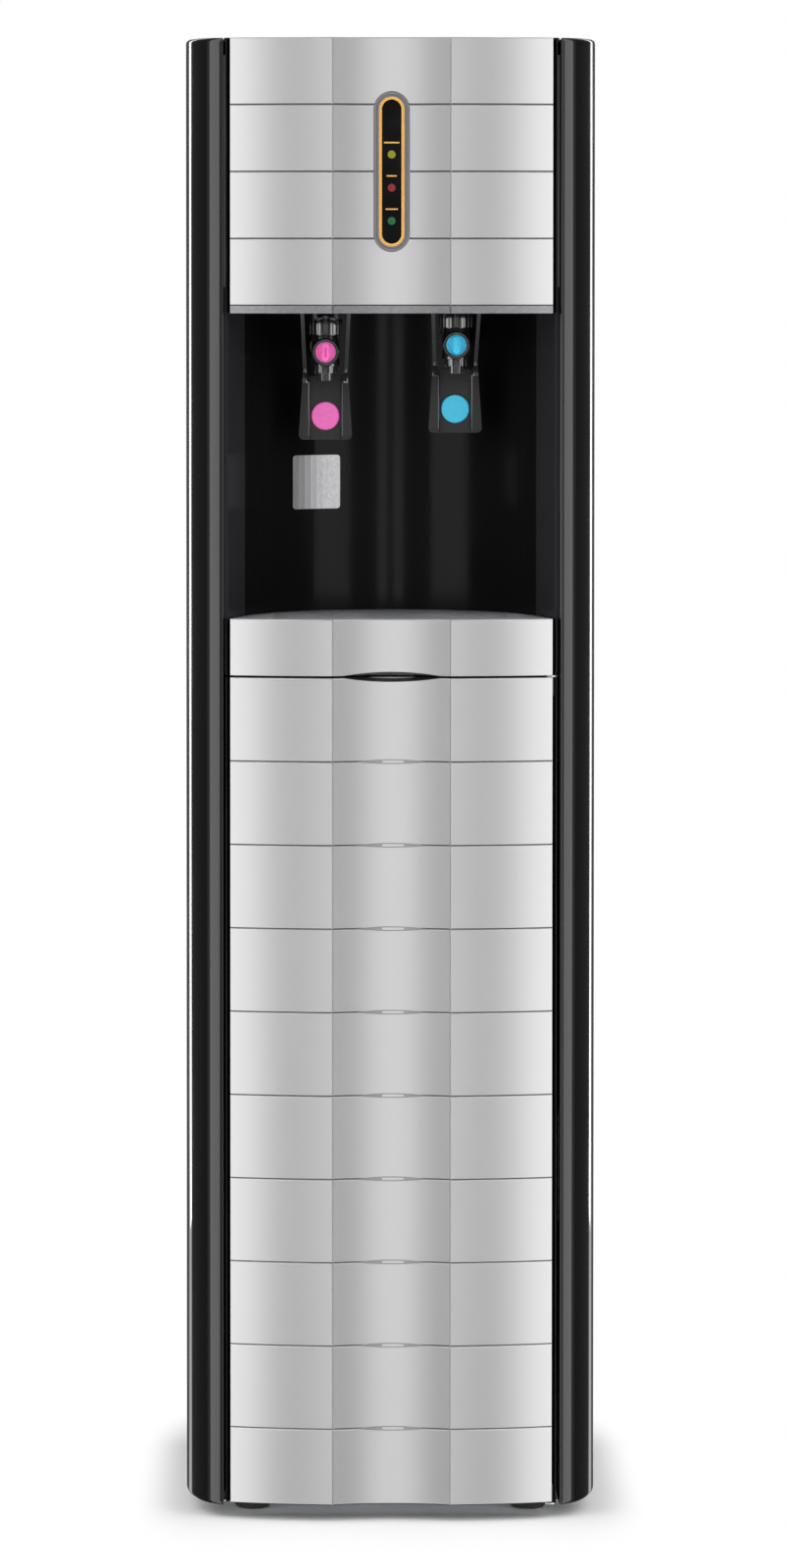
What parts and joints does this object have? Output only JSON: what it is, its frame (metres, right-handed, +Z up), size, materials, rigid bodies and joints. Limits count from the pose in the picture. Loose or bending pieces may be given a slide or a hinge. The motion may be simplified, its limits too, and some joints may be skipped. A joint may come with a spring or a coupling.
{
  "type": "point-of-use water cooler",
  "caption": "Free-standing point-of-use water cooler: tall cabinet with a dispensing niche, hot and cold push-lever taps, sliding drip tray, and a door over the filters.",
  "frame": {"origin": "on the floor, in the middle of the cooler's footprint", "axes": "+Z up, +X to the right seen from the front, and the front faces -Y"},
  "size_m": [0.3176, 0.34, 1.14],
  "materials": {
    "silver": "metallic silver lacquer, satin",
    "brushed_trim": "brushed",
    "black_gloss": "high gloss",
    "black_matte": "fine grain",
    "bezel_grey": "metallic grey",
    "gold": "metallic gold",
    "window_black": "high gloss",
    "lamp_yellow": "translucent",
    "lamp_red": "translucent",
    "lamp_green": "translucent",
    "tap_black": "semi-gloss",
    "hot_pink": "gloss",
    "cold_blue": "gloss",
    "grille_grey": "satin",
    "steel": "plain",
    "stainless": "drawn",
    "galvanised": "zinc coated",
    "rear_black": "powder coat",
    "condenser_black": "lacquer",
    "white_plastic": "satin",
    "tube_white": "smooth",
    "foam": "cast foam",
    "rubber": "plain",
    "magnet_grey": "plain",
    "switch_red": "gloss",
    "switch_green": "gloss",
    "fitting_white": "gloss"
  },
  "bodies": {
    "cabinet": {"left_side_panel": "black_gloss", "right_side_panel": "black_gloss", "upper_front_panel": "silver", "upper_front_base": "black_matte", "chin_trim": "brushed_trim", "niche_liner": "black_gloss", "indicator_bezel": "bezel_grey", "indicator_ring": "gold", "indicator_window": "window_black", "power_lamp": "lamp_yellow", "hot_lamp": "lamp_red", "cold_lamp": "lamp_green", "hot_tap_body": "tap_black", "cold_tap_body": "tap_black", "tap_nuts": "tap_black", "tap_nozzles": "tap_black", "lever_pins": "steel", "door_hinges": "steel", "door_magnet": "magnet_grey", "base_pan": "galvanised", "rear_panel": "rear_black", "top_cover": "black_matte", "tray_shelf": "black_matte", "tank_shelf": "galvanised", "cold_tank": "stainless", "cold_tank_jacket": "foam", "hot_tank": "stainless", "compressor": "condenser_black", "compressor_grommets": "rubber", "condenser": "condenser_black", "filter_rail": "galvanised", "filter_heads": "fitting_white", "filter_tubing": "tube_white", "solenoid_valve": "fitting_white", "control_box": "black_matte", "switch_frame": "black_matte", "rear_fittings": "fitting_white", "cord_gland": "black_matte", "feet": "rubber", "panel_screws": "steel"},
    "door": {"door_frame": "black_matte", "door_skin": "silver", "door_strike": "steel"},
    "tray": {"drip_tray": "black_matte", "tray_front": "silver"},
    "grille": {"drip_grille": "grille_grey"},
    "hot_push_lever": {"hot_lever": "tap_black", "hot_lever_disc": "hot_pink"},
    "cold_push_lever": {"cold_lever": "tap_black", "cold_lever_disc": "cold_blue"},
    "hot_stem": {"hot_tap_stem": "steel"},
    "cold_stem": {"cold_tap_stem": "steel"},
    "hot_knob": {"hot_tap_knob": "hot_pink"},
    "cold_knob": {"cold_tap_knob": "cold_blue"},
    "cartridge_left": {"filter_cartridge_1": "white_plastic"},
    "cartridge_middle": {"filter_cartridge_2": "white_plastic"},
    "cartridge_right": {"filter_cartridge_3": "white_plastic"},
    "hot_rocker": {"hot_switch": "switch_red"},
    "cold_rocker": {"cold_switch": "switch_green"},
    "drain_plug": {"drain_cap": "black_matte"}
  },
  "joints": [
    {"name": "door_hinge", "type": "hinge", "parent": "cabinet", "child": "door", "pos_m": [0.1225, -0.1522, 0.331], "axis": [0, 0, 1], "range_deg": [0, 100]},
    {"name": "tray_slide", "type": "slide", "parent": "cabinet", "child": "tray", "axis": [0, -1, 0], "range_m": [0, 0.13]},
    {"name": "grille_lift", "type": "slide", "parent": "tray", "child": "grille", "axis": [0, 0, 1], "range_m": [0, 0.03]},
    {"name": "hot_lever_push", "type": "hinge", "parent": "cabinet", "child": "hot_push_lever", "pos_m": [-0.0505, -0.1162, 0.9351], "axis": [1, 0, 0], "range_deg": [0, 12], "stiffness_Nm_per_rad": 1, "springref_deg": -4.58},
    {"name": "hot_stem_lift", "type": "slide", "parent": "cabinet", "child": "hot_stem", "axis": [0, 0, 1], "range_m": [0, 0.002]},
    {"name": "hot_knob_turn", "type": "hinge", "parent": "cabinet", "child": "hot_knob", "pos_m": [-0.0505, -0.1272, 0.8987], "axis": [0, -1, 0], "range_deg": [0, 90]},
    {"name": "cold_lever_push", "type": "hinge", "parent": "cabinet", "child": "cold_push_lever", "pos_m": [0.0505, -0.1162, 0.9406], "axis": [1, 0, 0], "range_deg": [0, 12], "stiffness_Nm_per_rad": 1, "springref_deg": -4.58},
    {"name": "cold_stem_lift", "type": "slide", "parent": "cabinet", "child": "cold_stem", "axis": [0, 0, 1], "range_m": [0, 0.002]},
    {"name": "cold_knob_turn", "type": "hinge", "parent": "cabinet", "child": "cold_knob", "pos_m": [0.0505, -0.1272, 0.9042], "axis": [0, -1, 0], "range_deg": [0, 90]},
    {"name": "cartridge_left_turn", "type": "hinge", "parent": "cabinet", "child": "cartridge_left", "pos_m": [-0.078, -0.0932, 0.5], "axis": [0, 0, 1], "range_deg": [0, 90]},
    {"name": "cartridge_middle_turn", "type": "hinge", "parent": "cabinet", "child": "cartridge_middle", "pos_m": [0, -0.0932, 0.5], "axis": [0, 0, 1], "range_deg": [0, 90]},
    {"name": "cartridge_right_turn", "type": "hinge", "parent": "cabinet", "child": "cartridge_right", "pos_m": [0.078, -0.0932, 0.5], "axis": [0, 0, 1], "range_deg": [0, 90]},
    {"name": "hot_switch_rock", "type": "hinge", "parent": "cabinet", "child": "hot_rocker", "pos_m": [-0.012, 0.1402, 0.9981], "axis": [1, 0, 0], "range_deg": [0, 14]},
    {"name": "cold_switch_rock", "type": "hinge", "parent": "cabinet", "child": "cold_rocker", "pos_m": [0.012, 0.1402, 0.9981], "axis": [1, 0, 0], "range_deg": [0, 14]},
    {"name": "drain_cap_turn", "type": "hinge", "parent": "cabinet", "child": "drain_plug", "pos_m": [0.03, 0.152, 0.09], "axis": [0, 1, 0], "range_deg": [0, 360]}
  ],
  "couplings": [
    {"joint": "hot_stem_lift", "follows": "hot_lever_push", "m_per_rad": 0.009},
    {"joint": "cold_stem_lift", "follows": "cold_lever_push", "m_per_rad": 0.009}
  ]
}
